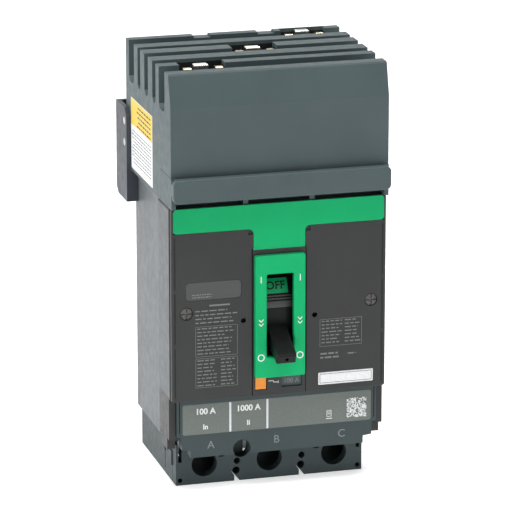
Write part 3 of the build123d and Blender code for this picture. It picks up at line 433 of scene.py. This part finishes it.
def rating_face():
    """Dividers, ratings, a generic code square and a small symbol on the rating plate."""
    dividers = [(-23.6, -22.6, 29.9, 44.5), (-5.4, -4.4, 29.9, 44.5)]
    front_bars("rating_dividers", dividers, RATING_Y, ink_silver)
    text_piece("rating_current", "100 A", 2.9, -35.2, 40.9, RATING_Y, ink_white, bold=0.12)
    text_piece("rating_current_symbol", "In", 2.5, -35.2, 33.2, RATING_Y, ink_white, bold=0.1)
    text_piece("rating_instant", "1000 A", 2.9, -14.2, 40.9, RATING_Y, ink_white, bold=0.12)
    text_piece("rating_instant_symbol", "Ii", 2.5, -14.2, 33.6, RATING_Y, ink_white, bold=0.1)
    cells = 21
    size = 9.8
    step = size / cells
    x_left, z_bottom = 34.4, 31.6
    bars = []
    for column in range(cells):
        for row in range(cells):
            if rng.random() < 0.55:
                x = x_left + column * step
                z = z_bottom + row * step
                bars.append((x, x + step * 0.9, z, z + step * 0.9))
    front_bars("code_square", bars, RATING_Y, ink_white)
    bars = frame_bars(24.4, 26.8, 33.0, 36.2, 0.25) + [(24.8, 26.4, 34.2, 34.5), (24.8, 26.4, 35.1, 35.4)]
    bars += [(24.2, 27.2, 31.9, 32.3)]
    front_bars("rating_symbol", bars, RATING_Y, ink_white)


def bezel_ribs():
    """Fine teeth in the slots at both ends of the bezel, coloured near black as painted shade in the slots."""
    def build(shape):
        for side in (-1, 1):
            near, far = sorted((side * 47.62, side * 48.08))
            z = 31.2
            while z < 46.0:
                outline = rectangle(near * MM, far * MM, z * MM, (z + 0.45) * MM)
                add_prism(shape, outline, "y", TRIP_Y + 0.15 * MM, TRIP_Y + 0.8 * MM)
                z += 0.9
    mesh_piece("bezel_ribs", build, painted_recess_shade, "case")


def phase_letters():
    """Raised phase letters above the lug holes."""
    for letter, pole in (("A", "a"), ("B", "b"), ("C", "c")):
        low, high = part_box("lug_" + pole)
        x = (low.x + high.x) / 2 / MM - 0.4
        text_piece("phase_letter_" + pole, letter, 3.9, x, 24.0, TRIP_Y, ink_slate)


def window_card():
    """Printed card behind the status window."""
    low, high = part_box("indicator_window")
    bars = print_lines(low.x / MM + 3, low.x / MM + 13, 99.6, 97.4, 1.2, 0.5, (0.6, 1.6), 0.4)
    front_bars("window_print", bars, low.y, ink_grey)


def case_sides():
    """Slate skins on both outer sides of the front case."""
    low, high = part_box("front_case")
    housing_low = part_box("plug_on_housing")[0]
    z_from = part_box("accessory_cover")[0].z + 1.4 * MM

    def build(shape):
        for side_x, outward in ((low.x, -1), (high.x, 1)):
            outline = rectangle(high.y - 20.2 * MM, high.y - 0.1 * MM, z_from, housing_low.z - 1.4 * MM)
            near, far = sorted((side_x + outward * 0.06 * MM, side_x - outward * 0.02 * MM))
            add_prism(shape, outline, "x", near, far)
    mesh_piece("case_side_skins", build, look["side_plastic"], "case")


def small_front_marks():
    """Rating in its window, the arrow of the trip button and the outline of the plain label."""
    column_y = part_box("front_case")[0].y
    window_y = column_y + 1.0 * MM
    floor_bar = [(1.5, 11.2, 50.9, 55.8)]
    front_bars("rating_window_floor", floor_bar, window_y, look["housing_plastic"])
    text_y = window_y - 0.05 * MM
    text_piece("small_rating", "100 A", 2.3, 6.3, 53.3, text_y, ink_grey, bold=0.06)
    bars = [(-5.2, -2.6, 54.2, 54.5), (-2.9, -2.6, 53.4, 54.5), (-2.9, -0.2, 53.4, 53.7)]
    bars.append((-0.6, -0.2, 53.0, 54.1))
    front_bars("trip_mark", bars, column_y, ink_white)
    low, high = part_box("blank_label")
    bars = frame_bars(low.x / MM + 0.7, high.x / MM - 0.7, low.z / MM + 0.7, high.z / MM - 0.7, 0.18)
    front_bars("label_outline", bars, low.y, ink_dark)


def paint_jaw_slot_shade():
    """Black sheets of painted shade beside each jaw, and on the ridge or wall behind it, where the deep slots fall
    into shade.
    """
    housing_low, housing_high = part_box("plug_on_housing")
    behind = {"a": 52.4, "b": 23.7, "c": 1.5}
    for pole in ("a", "b", "c"):
        low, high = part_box("jaw_" + pole)
        centre_x = (low.x + high.x) / 2
        centre_y = (low.y + high.y) / 2
        wall_y = housing_high.y - behind[pole] * MM

        def build(shape, centre_x=centre_x, centre_y=centre_y, wall_y=wall_y):
            top = housing_high.z - 1.7 * MM
            for side in (-1, 1):
                wall = centre_x + side * 11.0 * MM
                near, far = sorted((wall, wall - side * 0.12 * MM))
                outline = rectangle(near, far, 185.4 * MM, top)
                add_prism(shape, outline, "y", centre_y - 2.0 * MM, centre_y + 2.0 * MM)
            outline = rectangle(centre_x - 14 * MM, centre_x + 14 * MM, 187.6 * MM, top)
            add_prism(shape, outline, "y", wall_y - 0.1 * MM, wall_y + 0.02 * MM)
        mesh_piece("jaw_slot_shade_" + pole, build, painted_recess_shade, "case")


def paint_screw_gap_shade():
    """Black rings of painted shade in the gaps round the heads of the cover screws."""
    for side, tag in ((-1, "left"), (1, "right")):
        def ring(shape, side=side):
            add_ring(shape, side * 45, 90.5, (3.18, 2.75), 32, COVER_Y + 0.5 * MM, COVER_Y + 1.6 * MM)
        mesh_piece("screw_gap_shade_" + tag, ring, painted_recess_shade, "case")


def side_label():
    """Blank yellow and white label on the left side of the housing."""
    outer = HOUSING_X - 0.06 * MM
    inner = HOUSING_X + 0.02 * MM
    rear = 0.0434

    def panel(name, depth_from, depth_to, z_from, z_to, material, proud=0.0):
        def build(shape):
            near = rear - depth_to * MM
            far = rear - depth_from * MM
            outline = rounded(near, far, z_from * MM, z_to * MM, 0.4 * MM, 3)
            add_prism(shape, outline, "x", outer - proud * MM, inner)
        mesh_piece(name, build, material, "case")
    panel("side_label_base", 9.9, 51.9, 143.3, 178.0, look["label_white"])
    panel("side_label_yellow", 10.2, 51.6, 165.0, 177.7, ink_yellow, 0.03)

    def dashes(shape):
        z = 175.8
        while z > 166.5:
            depth = 48.5
            while depth > 24:
                width = rng.uniform(1.5, 4.5)
                outline = rectangle(rear - depth * MM, rear - (depth - width) * MM, (z - 0.8) * MM, z * MM)
                add_prism(shape, outline, "x", outer - 0.06 * MM, outer)
                depth -= width + 1.0
            z -= 2.3
        z = 162.5
        while z > 146:
            depth = 49.0
            while depth > 14:
                width = rng.uniform(1.2, 4.2)
                outline = rectangle(rear - depth * MM, rear - (depth - width) * MM, (z - 0.45) * MM, z * MM)
                add_prism(shape, outline, "x", outer - 0.04 * MM, outer)
                depth -= width + 0.8
            z -= 1.7
    mesh_piece("side_label_lines", dashes, ink_dark, "case")


def toggle_flag():
    """Curved flag with the word OFF that turns with the toggle's drum."""
    pivot_y, pivot_z = joint_point("toggle_swing")
    radius = 26.2 * MM
    rest = radians(-22.7)

    def patch(name, low_turn, high_turn, half, proud, material):
        def build(shape):
            steps = 14
            rows = []
            for step in range(steps + 1):
                turn = rest + radians(low_turn + (high_turn - low_turn) * step / steps)
                row = []
                for reach in (radius - 0.05 * MM, radius + proud * MM):
                    for x in (-half * MM, half * MM):
                        place = (x, pivot_y - reach * cos(turn), pivot_z + reach * sin(turn))
                        row.append(shape.verts.new(place))
                rows.append(row)
            for before, after in zip(rows, rows[1:]):
                for first, second in ((0, 1), (1, 3), (3, 2), (2, 0)):
                    shape.faces.new((before[first], before[second], after[second], after[first]))
            shape.faces.new((rows[0][0], rows[0][2], rows[0][3], rows[0][1]))
            shape.faces.new((rows[-1][0], rows[-1][1], rows[-1][3], rows[-1][2]))
        return mesh_piece(name, build, material, "handle")

    patch("off_flag", 41.5, 57.5, 6.0, 0.10, ink_green)
    patch("on_flag", -57.5, -41.5, 6.0, 0.10, ink_white)
    # The ridges are lighter than the drum: a painted sheen.
    for index, (low_turn, high_turn) in enumerate(((27.0, 33.5), (35.0, 36.5), (38.0, 39.5))):
        patch(f"drum_ridge_{index + 1}", low_turn, high_turn, 7.6, 0.6, ridge_painted_sheen)

    def wrap(name, text, height, centre_turn, material):
        piece = text_piece(name, text, height, 0, 0, 0, material, "handle", 0.04, 0.12)
        for vertex in piece.data.vertices:
            turn = rest + radians(centre_turn) + vertex.co.z / radius
            reach = radius + 0.12 * MM - vertex.co.y
            vertex.co = Vector((vertex.co.x, pivot_y - reach * cos(turn), pivot_z + reach * sin(turn)))
        return piece
    wrap("off_word", "OFF", 3.9, 49.5, ink_dark)
    wrap("on_word", "ON", 3.4, -49.5, ink_dark)


ink_slate = printed("ink_slate", (0.19, 0.22, 0.225), 0.5)
cover_print()
cover_seals()
surround_marks()
rating_face()
bezel_ribs()
phase_letters()
window_card()
paint_jaw_slot_shade()
case_sides()
small_front_marks()
paint_screw_gap_shade()
side_label()
toggle_flag()


# --- Floor, light and camera ------------------------------------------------------------------

def stage_material(name, grey):
    material, tree, shader, coords = new_material(name)
    mottle = noise(tree, coords, 3.0, 3.0)
    shade = ramp(tree, mottle, "Fac", [(0.4, grey * 0.99), (0.6, grey)])
    link(tree, shade, "Color", shader, "Base Color")
    shader.inputs["Roughness"].default_value = 0.75
    link(tree, shade, "Color", shader, "Emission Color")
    shader.inputs["Emission Strength"].default_value = 0.62
    return material


def floor():
    """Pale floor that curves up into a backdrop."""
    mesh = bpy.data.meshes.new("floor")
    shape = bmesh.new()
    outline = [(-6.0, 0.0)]
    bend = 1.5
    for step in range(13):
        turn = radians(90 * step / 12)
        outline.append((3.0 + bend * sin(turn), bend - bend * cos(turn)))
    outline.append((4.5, 5.0))
    rows = [[shape.verts.new((x, y, z)) for x in (-6.0, 6.0)] for y, z in outline]
    for before, after in zip(rows, rows[1:]):
        shape.faces.new((before[0], before[1], after[1], after[0]))
    shape.to_mesh(mesh)
    shape.free()
    for polygon in mesh.polygons:
        polygon.use_smooth = True
    mesh.materials.append(stage_material("floor_paper", 0.93))
    piece = bpy.data.objects.new("floor", mesh)
    bpy.context.scene.collection.objects.link(piece)


def area_light(name, place, aim, size, power, colour=(1, 1, 1)):
    lamp = bpy.data.lights.new(name, "AREA")
    lamp.shape = "SQUARE"
    lamp.size = size
    lamp.energy = power
    lamp.color = colour
    light = bpy.data.objects.new(name, lamp)
    light.location = place
    direction = Vector(aim) - Vector(place)
    light.rotation_euler = direction.to_track_quat("-Z", "Y").to_euler()
    bpy.context.scene.collection.objects.link(light)


def camera():
    """Long lens from the upper left of the front."""
    data = bpy.data.cameras.new("camera")
    data.sensor_width = 36.0
    data.lens = 258.3
    data.clip_end = 50
    view = bpy.data.objects.new("camera", data)
    view.location = (-0.4521, -1.6300, 0.58785)
    view.rotation_euler = (radians(90 - 15.967), 0, radians(-15.509))
    bpy.context.scene.collection.objects.link(view)
    bpy.context.scene.camera = view


bpy.context.scene.view_settings.view_transform = "Standard"
floor()
middle = (0, 0, 0.1)
area_light("key_left", (-1.6, -0.10, 0.6), middle, 0.9, 13)
area_light("front_fill", (0.3, -1.9, 0.8), middle, 1.2, 3)
area_light("top", (0.0, -0.35, 1.7), middle, 1.0, 28)
world = bpy.data.worlds.new("studio")
world.use_nodes = True
world.node_tree.nodes["Background"].inputs["Color"].default_value = (1, 1, 1, 1)
world.node_tree.nodes["Background"].inputs["Strength"].default_value = 0.25
bpy.context.scene.world = world
camera()


def corners(bounds):
    """A box as plain lists of metres."""
    return [[round(value, 6) for value in corner] for corner in bounds]
